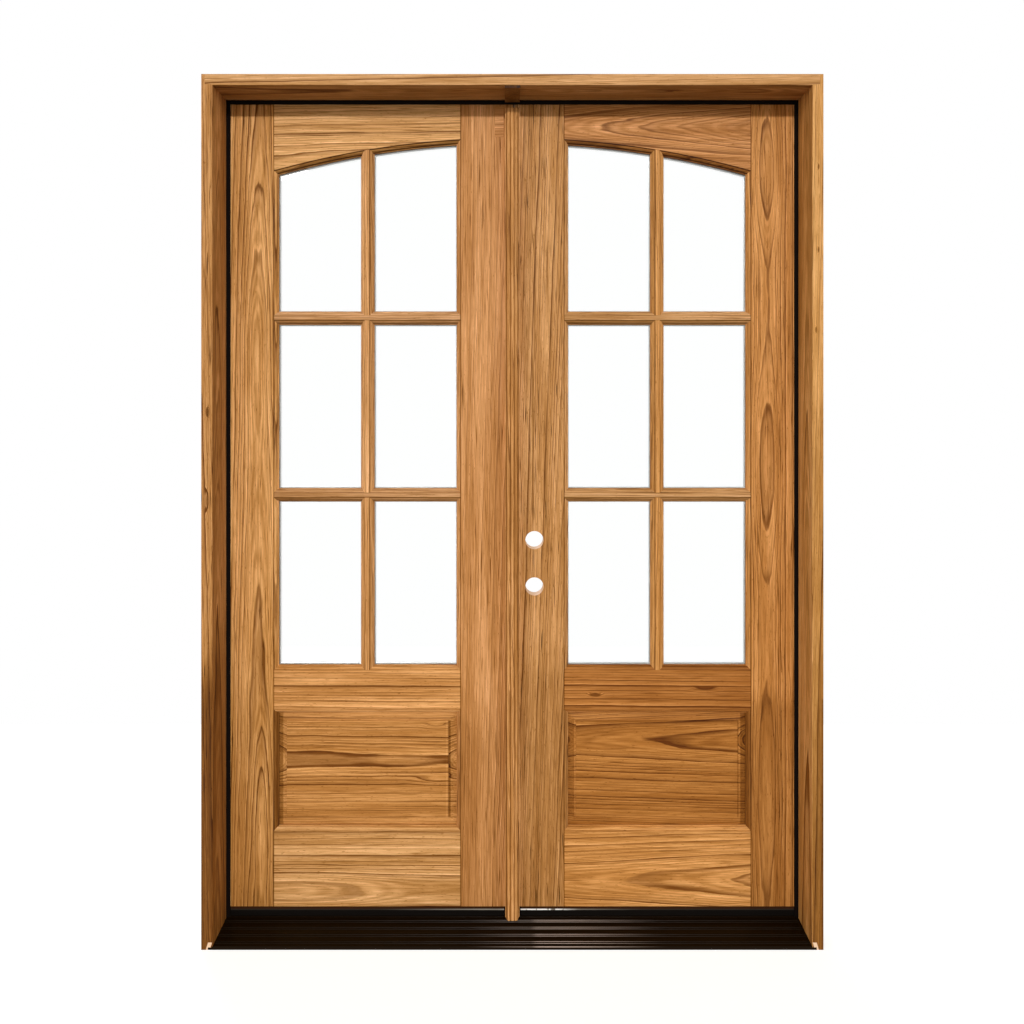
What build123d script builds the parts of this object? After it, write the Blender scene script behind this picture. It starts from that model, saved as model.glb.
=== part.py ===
from build123d import *
import os
from math import cos, radians, sin

# A pair of french doors in their frame, seen from outside: two glazed wood leaves that open inward
# over a sloped sill. The left leaf is the passive one and carries the astragal and the flush bolts.
# The right leaf is the active one and is bored for a lockset.
# Millimetres, +X to the right, +Y into the house, +Z up. The origin is the middle of the frame's foot.

# Leaves
leaf_width = 863.6
leaf_height = 2438.4
leaf_thickness = 44.45
stile_width = 150.0
bottom_rail_height = 227.0
panel_opening_height = 366.0
middle_rail_height = 120.0
crown_rail_height = 120.4
arch_radius = 2675.0

# Gaps round and between the leaves
hinge_gap = 3.175
head_gap = 3.175
meeting_gap = 12.5
leaf_undercut = 28.8

# Moulding worked on the edges of stiles, rails and bars
moulding_width = 12.5
moulding_quirk = 1.8
moulding_round = 9.5
groove_width = 10.0

# Lites
lite_height = 495.0
bar_flat = 15.0
glass_unit = 16.0
glass_clearance = 2.0
bead_bevel = 6.0

# Raised panel
panel_margin = 37.0
panel_field = 25.0
panel_step = 2.2
panel_clearance = 2.0
panel_play = 0.25

# Loose tenons between stiles and rails
tenon_thickness = 12.0
tenon_depth = 60.0
tenon_inset = 25.0

# Frame
jamb_depth = 166.7
jamb_thickness = 19.05
stop_height = 12.7
seal_gap = 1.6
housing_depth = 9.5
edge_round = 2.0

# Weatherstrip round the stop
seal_reach = 10.5
seal_bulb = 8.0
seal_flap = 9.0
seal_clearance = 0.3
kerf_width = 3.0
kerf_depth = 9.0
kerf_inset = 4.5

# Sill
cap_height = 22.0
cap_thickness = 4.0
cap_round = 1.5
tread_depth = 118.0
tread_front_height = 9.0
tread_back_height = 21.0
tread_thickness = 2.2
nose_thickness = 3.0
nose_drop = 2.0
rib_height = 1.2
rib_width = 2.2
rib_gap = 7.0
rib_pitch = 28.4
rib_start = 15.4
rib_pairs = 4
horn_depth = 36.0

# Block under the head, in line with the astragal
block_width = 44.0
block_thickness = 7.0
block_setback = 2.0

# Astragal on the passive leaf
flange_width = 42.0
flange_thickness = 28.6
stem_width = 9.5
reed_width = 11.4
reed_rise = 2.5
reed_count = 3
astragal_foot_gap = 2.6
astragal_foot_round = 12.0
astragal_head_gap = 22.7
astragal_recess = 1.6
astragal_seal_edge = 3.0

# Bottom sweeps
sweep_setback = 1.0
sweep_plate = 3.0
sweep_skirt = 7.5
sweep_bead = 3.8
sweep_bead_out = 0.6
sweep_fin = 1.6
sweep_fins = 3
sweep_end_gap = 4.0
sweep_bolt_room = 18.75

# Butt hinges
hinge_height = 101.6
hinge_reach = 44.5
hinge_plate = 2.6
hinge_count = 4
hinge_top_margin = 228.6
hinge_bottom_margin = 279.4
knuckle_radius = 5.8
knuckle_count = 3
knuckle_gap = 0.3
pin_radius = 3.0
pin_play = 0.05
pin_offset = 6.6
knuckle_room = 0.65

# Flush bolts in the passive leaf
bolt_radius = 4.0
bolt_play = 0.05
bolt_backset = 6.75
bolt_throw = 19.05
bolt_rest_gap = 3.2
bolt_plate_height = 170.0
bolt_plate_width = 19.0
bolt_plate_thickness = 3.0
bolt_plate_margin = 60.0
thumb_height = 14.0
thumb_width = 8.0
thumb_play = 0.4
strike_size = 28.0
strike_thickness = 2.0
strike_play = 0.6
strike_hole_floor = 1.5

# Lock bores in the active leaf
lock_heights = (965.2, 1104.9)
lock_bore_radius = 26.99
lock_backset = 60.325
latch_bore_radius = 12.7
face_plate_height = 57.0
face_plate_width = 25.4
face_plate_depth = 3.2
strike_recess = 2.0
strike_pocket_radius = 11.1
strike_pocket_depth = 14.0

# Places that follow from the sizes
slab_bottom = cap_height + leaf_undercut
slab_top = slab_bottom + leaf_height
inside = jamb_depth / 2
outside = -inside
leaf_back = inside
leaf_front = leaf_back - leaf_thickness
leaf_middle = (leaf_front + leaf_back) / 2
stop_face = leaf_front - seal_gap
meeting_edge = -meeting_gap / 2
hinge_edge = meeting_edge - leaf_width
rabbet = hinge_edge - hinge_gap
jamb_back = rabbet - jamb_thickness
stop_side = rabbet + stop_height
head_rabbet = slab_top + head_gap
head_stop = head_rabbet - stop_height
frame_top = head_rabbet + jamb_thickness
hinge_face_edge = hinge_edge + stile_width
meeting_face_edge = meeting_edge - stile_width
rail_length = meeting_face_edge - hinge_face_edge
rail_middle = (meeting_face_edge + hinge_face_edge) / 2
glass_front = (leaf_thickness - groove_width) / 2
bar_width = bar_flat + 2 * moulding_width
bottom_rail_top = slab_bottom + bottom_rail_height
middle_rail_bottom = bottom_rail_top + panel_opening_height
middle_rail_top = middle_rail_bottom + middle_rail_height
lower_bar = middle_rail_top + moulding_width + lite_height + bar_width / 2
upper_bar = lower_bar + lite_height + bar_width
arch_centre = slab_top - crown_rail_height - arch_radius
stem_edge = meeting_edge + stem_width
astragal_foot = cap_height + astragal_foot_gap
astragal_head = head_stop - block_thickness - astragal_head_gap
flange_front = leaf_front - flange_thickness
pin_x = (hinge_edge + rabbet) / 2
pin_y = leaf_back + pin_offset
bolt_x = meeting_edge - bolt_backset

nodes = {}


def block(x, y, z):
    """A box between the two values given for each axis."""
    size = (max(x) - min(x), max(y) - min(y), max(z) - min(z))
    middle = ((x[0] + x[1]) / 2, (y[0] + y[1]) / 2, (z[0] + z[1]) / 2)
    return Pos(*middle) * Box(*size)


def prism_z(points, low, high):
    """An upright piece with the given outline in plan."""
    face = make_face(Polyline(*points, close=True))
    return extrude(Pos(0, 0, low) * face, amount=high - low)


def prism_x(points, half_length):
    """A level piece with the given outline in (y, z), centred on x = 0."""
    face = Plane.YZ * make_face(Polyline(*points, close=True))
    return extrude(face, amount=half_length, both=True)


def arch_disc(radius):
    """Everything under the arch, through the leaf and past both its faces."""
    centre = Plane(origin=(0, leaf_middle, arch_centre), x_dir=(0, 0, -1), z_dir=(0, 1, 0))
    return extrude(centre * Circle(radius), amount=leaf_thickness, both=True)


def arch_height(x, radius):
    """Height of an arc about the arch's centre, at a distance x from the middle."""
    return arch_centre + (radius**2 - x**2) ** 0.5


def moulding_profile():
    """Quirk, quarter round and lip: u towards the opening, v from the face into the wood."""
    turn = radians(45)
    start = (0, moulding_quirk)
    middle = (moulding_round * sin(turn), moulding_quirk + moulding_round * (1 - cos(turn)))
    end = (moulding_round, moulding_quirk + moulding_round)
    curve = ThreePointArc(start, middle, end)
    lip = Polyline(end, (moulding_width, end[1]), (moulding_width, glass_front), (0, glass_front), start)
    return make_face(curve + lip)


def bead_profile():
    """Section of a loose bead behind the glass, bevelled towards the room."""
    low = glass_front + glass_unit
    corners = [(0, low), (moulding_width, low), (moulding_width, leaf_thickness - bead_bevel)]
    corners += [(moulding_width - bead_bevel, leaf_thickness), (0, leaf_thickness)]
    return make_face(Polyline(*corners, close=True))


def edge_run(profile, middle, towards, length, inner=False):
    """A straight length of a profile. The inner one is worked on the house side of the edge."""
    face_y = leaf_back if inner else leaf_front
    into = Vector(0, -1, 0) if inner else Vector(0, 1, 0)
    plane = Plane(
        origin=(middle[0], face_y, middle[1]), x_dir=towards, z_dir=Vector(*towards).cross(into)
    )
    return extrude(plane * profile, amount=length / 2, both=True)


def arch_run(profile, x_low, x_high):
    """The same profile turned round the arch's axis, between two distances from the middle."""
    plane = Plane(
        origin=(0, leaf_front, arch_centre + arch_radius), x_dir=(0, 0, -1), z_dir=(1, 0, 0)
    )
    ring = revolve(plane * profile, Axis((0, 0, arch_centre), (0, 1, 0)), 360)
    reach = block((x_low, x_high), (leaf_front, leaf_back), (slab_bottom, slab_top))
    return ring & reach


# Stiles


def stile(x_low, x_high, towards):
    """A full-height stile: panel groove below the middle rail, open glass rebate above it."""
    z = (slab_bottom, slab_top)
    edge = x_high if towards[0] > 0 else x_low
    middle = (edge, (slab_bottom + slab_top) / 2)
    panel_middle = (edge, (slab_bottom + middle_rail_top) / 2)
    wood = block((x_low, x_high), (leaf_front, leaf_back), z)
    moulding = moulding_profile()
    wood += edge_run(moulding, middle, towards, leaf_height)
    wood += edge_run(moulding, panel_middle, towards, middle_rail_top - slab_bottom, inner=True)
    return wood


def hinge_heights():
    """Middles of the hinges, evenly spaced between the top one and the bottom one."""
    low = slab_bottom + hinge_bottom_margin
    high = slab_top - hinge_top_margin
    return [low + (high - low) * i / (hinge_count - 1) for i in range(hinge_count)]


def hinge_mortises(edge, depth):
    """Pockets for the hinge plates in a leaf's edge or a jamb, as deep as a plate."""
    y = (pin_y - hinge_reach, leaf_back)
    pockets = []
    for height in hinge_heights():
        z = (height - hinge_height / 2, height + hinge_height / 2)
        pockets.append(block((edge, edge + depth), y, z))
    return pockets


hinge_stile = stile(hinge_edge, hinge_face_edge, (1, 0, 0)) - hinge_mortises(hinge_edge, hinge_plate)
meeting_stile = stile(meeting_face_edge, meeting_edge, (-1, 0, 0))
both_stiles = hinge_stile + meeting_stile


# Rails and bars, scribed over the stiles' moulding


def between_stiles(z_low, z_high):
    """A blank that reaches the stiles' face edges."""
    return block((hinge_face_edge, meeting_face_edge), (leaf_front, leaf_back), (z_low, z_high))


def rail_run(z, towards, inner=False):
    """Moulding along the whole length of a rail's edge."""
    return edge_run(moulding_profile(), (rail_middle, z), towards, rail_length, inner)


def bottom_rail():
    """Bottom rail, grooved along its top for the panel."""
    wood = between_stiles(slab_bottom, bottom_rail_top)
    wood += [rail_run(bottom_rail_top, (0, 0, 1)), rail_run(bottom_rail_top, (0, 0, 1), inner=True)]
    return wood - both_stiles


def middle_rail():
    """Middle rail, grooved below for the panel and rebated above for the glass."""
    wood = between_stiles(middle_rail_bottom, middle_rail_top)
    wood += [rail_run(middle_rail_bottom, (0, 0, -1)), rail_run(middle_rail_bottom, (0, 0, -1), True)]
    wood += rail_run(middle_rail_top, (0, 0, 1))
    return wood - both_stiles


def top_rail():
    """Top rail with the arch cut in its lower edge. One arc crosses both leaves."""
    lowest = arch_height(hinge_face_edge, arch_radius) - moulding_width
    wood = between_stiles(lowest, slab_top) - arch_disc(arch_radius)
    wood += arch_run(moulding_profile(), hinge_face_edge, meeting_face_edge)
    return wood - both_stiles


def crossbar(z):
    """A bar right across the leaf, with glass above and below it."""
    wood = between_stiles(z - bar_flat / 2, z + bar_flat / 2)
    wood += [rail_run(z - bar_flat / 2, (0, 0, -1)), rail_run(z + bar_flat / 2, (0, 0, 1))]
    return wood - both_stiles


def upright_bar(z_low, z_high):
    """A short upright bar between two level members, given by their face edges."""
    middle = (z_low + z_high) / 2
    sides = (rail_middle - bar_flat / 2, rail_middle + bar_flat / 2)
    wood = block(sides, (leaf_front, leaf_back), (z_low, z_high))
    wood += edge_run(moulding_profile(), (sides[0], middle), (-1, 0, 0), z_high - z_low)
    wood += edge_run(moulding_profile(), (sides[1], middle), (1, 0, 0), z_high - z_low)
    return wood


rails = {
    "top_rail": top_rail(),
    "middle_rail": middle_rail(),
    "bottom_rail": bottom_rail(),
    "upper_crossbar": crossbar(upper_bar),
    "lower_crossbar": crossbar(lower_bar),
}
crown_height = arch_height(rail_middle + bar_width / 2, arch_radius)
lower_edge = lower_bar - bar_flat / 2
upper_edge = upper_bar - bar_flat / 2
bars = {
    "lower_glazing_bar": upright_bar(middle_rail_top, lower_edge)
    - rails["middle_rail"]
    - rails["lower_crossbar"],
    "centre_glazing_bar": upright_bar(lower_edge + bar_flat, upper_edge)
    - rails["lower_crossbar"]
    - rails["upper_crossbar"],
    "upper_glazing_bar": (upright_bar(upper_edge + bar_flat, crown_height) & arch_disc(arch_radius))
    - rails["upper_crossbar"]
    - rails["top_rail"],
}


# Loose tenons, hidden in the stile and rail joints


def tenon_spans():
    """Bottom and top of the tenon in each rail."""
    rail_spans = [
        (slab_bottom, bottom_rail_top),
        (middle_rail_bottom, middle_rail_top),
        (slab_top - crown_rail_height, slab_top),
    ]
    return [(low + tenon_inset, high - tenon_inset) for low, high in rail_spans]


def tenons():
    """Six flat tenons, each half in a stile and half in a rail."""
    y = (leaf_middle - tenon_thickness / 2, leaf_middle + tenon_thickness / 2)
    found = []
    for edge in (hinge_face_edge, meeting_face_edge):
        for z in tenon_spans():
            found.append(block((edge - tenon_depth, edge + tenon_depth), y, z))
    return found


leaf_tenons = tenons()
hinge_stile -= leaf_tenons
meeting_stile -= leaf_tenons
for rail in ("top_rail", "middle_rail", "bottom_rail"):
    rails[rail] -= leaf_tenons


# Raised panel


def rectangle_xz(x, y, z):
    """A rectangle facing the street, with its middle and size from the two values for x and z."""
    plane = Plane(origin=((x[0] + x[1]) / 2, y, (z[0] + z[1]) / 2), x_dir=(1, 0, 0), z_dir=(0, -1, 0))
    return plane * Rectangle(x[1] - x[0], z[1] - z[0])


def inset(pair, by):
    """A pair of values moved towards each other."""
    return (pair[0] + by, pair[1] - by)


def raised_panel():
    """Solid panel: a tongue in the grooves, a sloped margin, a small step and a flat field."""
    x = (hinge_face_edge, meeting_face_edge)
    z = (bottom_rail_top, middle_rail_bottom)
    tongue = groove_width / 2 - panel_play
    slope_top = panel_field / 2 - panel_step
    slope_width = panel_margin - panel_step
    edge_y = inset((leaf_middle, leaf_middle), -tongue)
    wood = block(inset(x, panel_clearance), edge_y, inset(z, panel_clearance))
    field_y = inset((leaf_middle, leaf_middle), -panel_field / 2)
    wood += block(inset(x, panel_margin), field_y, inset(z, panel_margin))
    for side in (-1, 1):
        low = rectangle_xz(inset(x, moulding_width), leaf_middle + side * tongue, inset(z, moulding_width))
        top = rectangle_xz(inset(x, slope_width), leaf_middle + side * slope_top, inset(z, slope_width))
        wood += loft([low, top])
    return wood


# Panes and their beads


def lite_openings():
    """The six rebated openings: x pair, z pair and whether the arch closes the top."""
    halves = (
        (hinge_face_edge, rail_middle - bar_flat / 2),
        (rail_middle + bar_flat / 2, meeting_face_edge),
    )
    rows = (
        ("upper", (upper_edge + bar_flat, slab_top), True),
        ("centre", (lower_edge + bar_flat, upper_edge), False),
        ("lower", (middle_rail_top, lower_edge), False),
    )
    return [(row, side, x, z, arched) for row, z, arched in rows for side, x in zip("ab", halves)]


def opening_blank(x, y, z, arched, by):
    """The opening taken in by a margin on every side, and under the arch if it reaches it."""
    blank = block(inset(x, by), y, inset(z, by))
    return blank & arch_disc(arch_radius - by) if arched else blank


def pane(x, z, arched):
    """A sealed double pane, modelled as one slab."""
    y = (leaf_front + glass_front, leaf_front + glass_front + glass_unit)
    return opening_blank(x, y, z, arched, glass_clearance)


def top_corners(x, z, arched):
    """The opening's two upper corners and the beads' two inner ones, from left to right."""
    places = (x[0], x[0] + moulding_width, x[1] - moulding_width, x[1])
    margins = (0, moulding_width, moulding_width, 0)
    if arched:
        return [(at, arch_height(at, arch_radius - by)) for at, by in zip(places, margins)]
    return [(at, z[1] - by) for at, by in zip(places, margins)]


def mitre_wedge(corners, beyond):
    """The space of a top or bottom bead, between its mitres."""
    outline = [*corners, (corners[3][0], beyond), (corners[0][0], beyond)]
    plane = Plane(origin=(0, leaf_middle, 0), x_dir=(1, 0, 0), z_dir=(0, -1, 0))
    return extrude(plane * make_face(Polyline(*outline, close=True)), amount=leaf_thickness, both=True)


def beads(x, z, arched):
    """Four mitred beads that hold a pane from the house side."""
    profile = bead_profile()
    top = top_corners(x, z, arched)
    bottom = [(at, z[0] + by) for (at, _), by in zip(top, (0, moulding_width, moulding_width, 0))]
    upper = mitre_wedge(top, frame_top)
    lower = mitre_wedge(bottom, z[0] - moulding_width)
    middle = ((x[0] + x[1]) / 2, (z[0] + z[1]) / 2)
    width = x[1] - x[0]
    height = z[1] - z[0]
    head = arch_run(profile, *x) if arched else edge_run(profile, (middle[0], z[1]), (0, 0, -1), width)
    foot = edge_run(profile, (middle[0], z[0]), (0, 0, 1), width)
    sides = [
        edge_run(profile, (x[0], middle[1]), (1, 0, 0), height),
        edge_run(profile, (x[1], middle[1]), (-1, 0, 0), height),
    ]
    return [head & upper, foot & lower, *[bead - upper - lower for bead in sides]]


# Bottom sweep


def sweep_profile():
    """Carrier plate, skirt, bead and hanging fins, from the front of the leaf to its back."""
    front = leaf_front + sweep_setback
    back = leaf_back - sweep_setback
    plate_low = slab_bottom - sweep_plate
    skirt_low = slab_bottom - sweep_skirt
    bead_low = skirt_low - sweep_bead
    tip = cap_height + seal_clearance
    points = [(front, slab_bottom), (front, skirt_low), (front - sweep_bead_out, skirt_low)]
    points += [(front - sweep_bead_out, bead_low), (front, bead_low)]
    pitch = (back - front - sweep_fin) / (sweep_fins - 1)
    for fin in range(sweep_fins):
        near = front + fin * pitch
        points += [(near, tip), (near + sweep_fin, tip), (near + sweep_fin, plate_low)]
        if fin < sweep_fins - 1:
            points.append((near + pitch, plate_low))
    points[-1] = (back, slab_bottom)
    return points


def bottom_sweep():
    """Vinyl sweep under the leaf, short of the hinge edge and of the bolt."""
    ends = (hinge_edge + sweep_end_gap, meeting_edge - sweep_bolt_room)
    run = prism_x(sweep_profile(), (ends[1] - ends[0]) / 2)
    return Pos((ends[0] + ends[1]) / 2, 0, 0) * run


# Butt hinges


def knuckle_span(height, index):
    """Bottom and top of one knuckle of the hinge at that height."""
    low = height - hinge_height / 2
    pitch = hinge_height / knuckle_count
    return (low + index * pitch + knuckle_gap / 2, low + (index + 1) * pitch - knuckle_gap / 2)


def upright_rod(radius, z, at=(pin_x, pin_y)):
    """A round rod between two heights, on the hinge's axis unless told otherwise."""
    return Pos(at[0], at[1], (z[0] + z[1]) / 2) * Cylinder(radius, z[1] - z[0])


def hinge_plate_at(height, edge, depth, own):
    """One plate of a hinge with its own knuckles, cut away round the other plate's."""
    z = (height - hinge_height / 2, height + hinge_height / 2)
    plate = block((edge, edge + depth), (pin_y - hinge_reach, pin_y), z)
    for index in range(knuckle_count):
        span = knuckle_span(height, index)
        if index % 2 == own:
            plate += upright_rod(knuckle_radius, span)
        else:
            room = inset(span, -knuckle_gap)
            plate -= block((edge, edge + depth), (leaf_back + knuckle_room - seal_clearance, pin_y), room)
            plate -= upright_rod(knuckle_radius + seal_clearance, room)
    return plate


def jamb_hinge_plate(height):
    """The jamb's plate. Its outer knuckles hold the pin."""
    plate = hinge_plate_at(height, rabbet, -hinge_plate, 0)
    return plate + upright_rod(pin_radius, inset(knuckle_span(height, 1), -knuckle_gap))


def leaf_hinge_plate(height):
    """The leaf's plate. Its middle knuckle turns on the pin."""
    plate = hinge_plate_at(height, hinge_edge, hinge_plate, 1)
    return plate - upright_rod(pin_radius + pin_play, knuckle_span(height, 1))


left_jamb_plates = [jamb_hinge_plate(height) for height in hinge_heights()]
left_door_plates = [leaf_hinge_plate(height) for height in hinge_heights()]


def mirrored(shapes):
    """The same pieces on the other side of the unit."""
    return [mirror(shape, about=Plane.YZ) for shape in shapes]


# Sill


def tread_height(depth):
    """Height of the sloping tread at a depth from the frame's outer face."""
    return tread_front_height + (tread_back_height - tread_front_height) * depth / tread_depth


def tread_profile():
    """Thin cover with a nose that turns down at the front and pairs of ribs along its top."""
    back = outside + tread_depth
    points = [(outside, 0), (outside, tread_front_height - nose_drop)]
    points.append((outside + nose_drop, tread_height(nose_drop)))
    for pair in range(rib_pairs):
        for side in (-1, 1):
            middle = rib_start + pair * rib_pitch + side * rib_gap / 2
            for depth, rise in (
                (middle - rib_width / 2, 0),
                (middle - rib_width / 4, rib_height),
                (middle + rib_width / 4, rib_height),
                (middle + rib_width / 2, 0),
            ):
                points.append((outside + depth, tread_height(depth) + rise))
    points += [(back, tread_back_height), (back, tread_back_height - tread_thickness)]
    points.append((outside + nose_thickness, tread_height(nose_thickness) - tread_thickness))
    points.append((outside + nose_thickness, 0))
    return points


def sill_base_profile():
    """Solid base under the tread and under the level cap."""
    front = outside + nose_thickness
    back = outside + tread_depth
    return [
        (front, 0),
        (front, tread_height(nose_thickness) - tread_thickness),
        (back, tread_back_height - tread_thickness),
        (back, cap_height - cap_thickness),
        (inside, cap_height - cap_thickness),
        (inside, 0),
    ]


def between_jambs(wood):
    """Takes the room of the jambs' stops off both ends, behind the horns at the nose."""
    y = (outside + horn_depth, stop_face)
    z = (0, cap_height + rib_height)
    return wood - [block((side * rabbet, side * stop_side), y, z) for side in (-1, 1)]


sill_tread = between_jambs(prism_x(tread_profile(), -rabbet))
sill_base = between_jambs(prism_x(sill_base_profile(), -rabbet))
cap_z = (cap_height - cap_thickness, cap_height)
cap_blank = block((rabbet, -rabbet), (outside + tread_depth, inside), cap_z)
cap_nose = cap_blank.edges().filter_by(Axis.X).group_by(Axis.Y)[0].sort_by(Axis.Z)[-1]
sill_cap = between_jambs(fillet(cap_nose, cap_round))


# Jambs and head


def side_jamb():
    """Left jamb: rabbet for the leaf, stop, kerf for the seal and mortises for the hinges."""
    outline = [
        (jamb_back, outside),
        (stop_side, outside),
        (stop_side, stop_face),
        (rabbet, stop_face),
        (rabbet, inside),
        (jamb_back, inside),
    ]
    wood = prism_z(outline, 0, frame_top)
    front_corner = wood.edges().filter_by(Axis.Z).group_by(Axis.Y)[0].sort_by(Axis.X)[-1]
    wood = fillet(front_corner, edge_round)
    kerf_x = (stop_side - kerf_inset - kerf_width, stop_side - kerf_inset)
    wood -= block(kerf_x, (stop_face - kerf_depth, stop_face), (cap_height, head_rabbet))
    return wood - hinge_mortises(rabbet, -hinge_plate)


def head_blank():
    """Head with the same section as the jambs, housed in both of them."""
    outline = [
        (outside, head_stop),
        (stop_face, head_stop),
        (stop_face, head_rabbet),
        (inside, head_rabbet),
        (inside, frame_top),
        (outside, frame_top),
    ]
    wood = prism_x(outline, -(rabbet - housing_depth))
    front_corner = wood.edges().filter_by(Axis.X).group_by(Axis.Y)[0].sort_by(Axis.Z)[0]
    return fillet(front_corner, edge_round)


def head_kerf():
    """Kerf for the head's seal, from rabbet to rabbet."""
    z = (head_stop + kerf_inset, head_stop + kerf_inset + kerf_width)
    return block((rabbet, -rabbet), (stop_face - kerf_depth, stop_face), z)


def seal_profile():
    """Weatherstrip: u towards the opening from the stop's side, v inward from the stop's face."""
    barb = (-kerf_inset - kerf_width, -kerf_inset)
    back = seal_gap - seal_clearance
    points = [(-seal_flap, back), (-seal_flap, 0), (barb[0], 0), (barb[0], -kerf_depth)]
    points += [(barb[1], -kerf_depth), (barb[1], 0), (0, 0), (0, back - seal_bulb)]
    points += [(seal_reach / 2, back - seal_bulb), (seal_reach, back - seal_bulb / 2), (seal_reach, back)]
    return points


def head_weatherstrip():
    """Strip along the head, from rabbet to rabbet."""
    points = [(stop_face + v, head_stop - u) for u, v in seal_profile()]
    return prism_x(points, -stop_side)


def side_weatherstrip(head_strip):
    """Strip down the left jamb, scribed under the head's strip and standing on the cap."""
    points = [(stop_side + u, stop_face + v) for u, v in seal_profile()]
    return prism_z(points, cap_height, head_stop + seal_flap) - head_strip


head = head_blank()
left_jamb = side_jamb() - [head, sill_tread, sill_base, sill_cap]
head -= head_kerf()
head_strip = head_weatherstrip()
head_strip -= left_jamb
head_strip -= mirror(left_jamb, about=Plane.YZ)
left_strip = side_weatherstrip(head_strip) - head
head_block = block(
    (-block_width / 2, block_width / 2),
    (outside + block_setback, stop_face - seal_bulb),
    (head_stop - block_thickness, head_stop),
)


# Astragal


def astragal_front():
    """Outline of the flange in plan: three reeds between two rounded shoulders."""
    shoulder = flange_front + reed_rise
    first = -reed_count * reed_width / 2
    corner = flange_width / 2 + first
    curves = []
    for reed in range(reed_count):
        low = first + reed * reed_width
        crest = (low + reed_width / 2, flange_front)
        curves.append(ThreePointArc((low, shoulder), crest, (low + reed_width, shoulder)))
    curves.append(RadiusArc((-first, shoulder), (-first + corner, shoulder + corner), corner))
    curves.append(RadiusArc((first - corner, shoulder + corner), (first, shoulder), corner))
    back = Polyline(
        (-first + corner, shoulder + corner),
        (-first + corner, leaf_front - astragal_recess),
        (stem_edge, leaf_front - astragal_recess),
        (stem_edge, leaf_front),
        (first - corner, leaf_front),
        (first - corner, shoulder + corner),
    )
    return make_face(Curve() + [*curves, back])


def astragal():
    """Wood T: the flange laps the active leaf, and the stem closes the gap between the leaves."""
    flange = extrude(Pos(0, 0, astragal_foot) * astragal_front(), amount=astragal_head - astragal_foot)
    blank = rectangle_xz(
        (-flange_width / 2, flange_width / 2), leaf_middle, (astragal_foot, astragal_head)
    )
    outline = fillet(blank.vertices().group_by(Axis.Z)[0], astragal_foot_round)
    flange &= extrude(outline, amount=jamb_depth, both=True)
    stem = block((meeting_edge, stem_edge), (leaf_front, leaf_back), (slab_bottom, slab_top))
    return flange + stem


def astragal_seal():
    """Flat strip behind the flange, against the active leaf."""
    x = (stem_edge + astragal_seal_edge, flange_width / 2 - astragal_seal_edge)
    y = (leaf_front - astragal_recess, leaf_front - seal_clearance)
    return block(x, y, (slab_bottom, astragal_head))


# Flush bolts

upper_thumb = slab_top - bolt_plate_margin - bolt_plate_height / 2
lower_thumb = slab_bottom + bolt_plate_margin + bolt_plate_height / 2


def bolt_slot(thumb, way, x):
    """The slot in which the thumb piece travels, from rest to its full throw."""
    y = (leaf_middle - thumb_width / 2 - thumb_play, leaf_middle + thumb_width / 2 + thumb_play)
    rest = thumb - way * (thumb_height / 2 + thumb_play)
    thrown = thumb + way * (thumb_height / 2 + bolt_throw + thumb_play)
    return block(x, y, (min(rest, thrown), max(rest, thrown)))


def bolt_plate_place(thumb):
    """The space of the edge plate, flush in the stem's edge."""
    y = (leaf_middle - bolt_plate_width / 2, leaf_middle + bolt_plate_width / 2)
    z = (thumb - bolt_plate_height / 2, thumb + bolt_plate_height / 2)
    return block((stem_edge - bolt_plate_thickness, stem_edge), y, z)


def bolt_plate(thumb, way):
    """Edge plate with the thumb piece's slot."""
    return bolt_plate_place(thumb) - bolt_slot(thumb, way, (meeting_edge, stem_edge))


def flush_bolt(thumb, tip):
    """Round rod with a thumb piece that reaches through the stem to the plate's face."""
    at = (bolt_x, leaf_middle)
    rod = upright_rod(bolt_radius, (min(thumb, tip), max(thumb, tip)), at)
    y = (leaf_middle - thumb_width / 2, leaf_middle + thumb_width / 2)
    z = (thumb - thumb_height / 2, thumb + thumb_height / 2)
    return rod + block((bolt_x, stem_edge - thumb_play), y, z)


def bolt_room(thumb, way, end):
    """What a bolt needs in the stile and the stem: its rod's bore, its slot and the plate's place."""
    bore = upright_rod(bolt_radius + bolt_play, (min(thumb, end), max(thumb, end)), (bolt_x, leaf_middle))
    pocket = bolt_slot(thumb, way, (bolt_x - bolt_radius - thumb_play, stem_edge))
    return [bore, pocket, bolt_plate_place(thumb)]


def strike(face, into):
    """Flat strike plate let into the head or the cap, at the bolt's place."""
    half = strike_size / 2
    x = (bolt_x - half, bolt_x + half)
    y = (leaf_middle - half, leaf_middle + half)
    return block(x, y, (face, face + into * strike_thickness))


upper_bolt = flush_bolt(upper_thumb, slab_top)
lower_bolt = flush_bolt(lower_thumb, cap_height + bolt_rest_gap)
bolt_cuts = bolt_room(upper_thumb, 1, slab_top) + bolt_room(lower_thumb, -1, slab_bottom)
plates = [bolt_plate(upper_thumb, 1), bolt_plate(lower_thumb, -1)]
hole = bolt_radius + strike_play
head_hole = upright_rod(hole, (head_rabbet, frame_top - strike_hole_floor), (bolt_x, leaf_middle))
sill_hole = upright_rod(hole, (strike_hole_floor, cap_height), (bolt_x, leaf_middle))
head_strike = strike(head_rabbet, 1)
sill_strike = strike(cap_height, -1)
head -= [head_hole, head_strike]
sill_cap -= [sill_hole, sill_strike]
sill_base -= sill_hole


# Boring for the lockset


def lock_bores():
    """Two bores right through the active leaf's meeting stile."""
    x = -meeting_edge + lock_backset
    bores = []
    for height in lock_heights:
        place = Plane(origin=(x, leaf_middle, slab_bottom + height), z_dir=(0, 1, 0))
        bores.append(extrude(place * Circle(lock_bore_radius), amount=leaf_thickness, both=True))
    return bores


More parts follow.
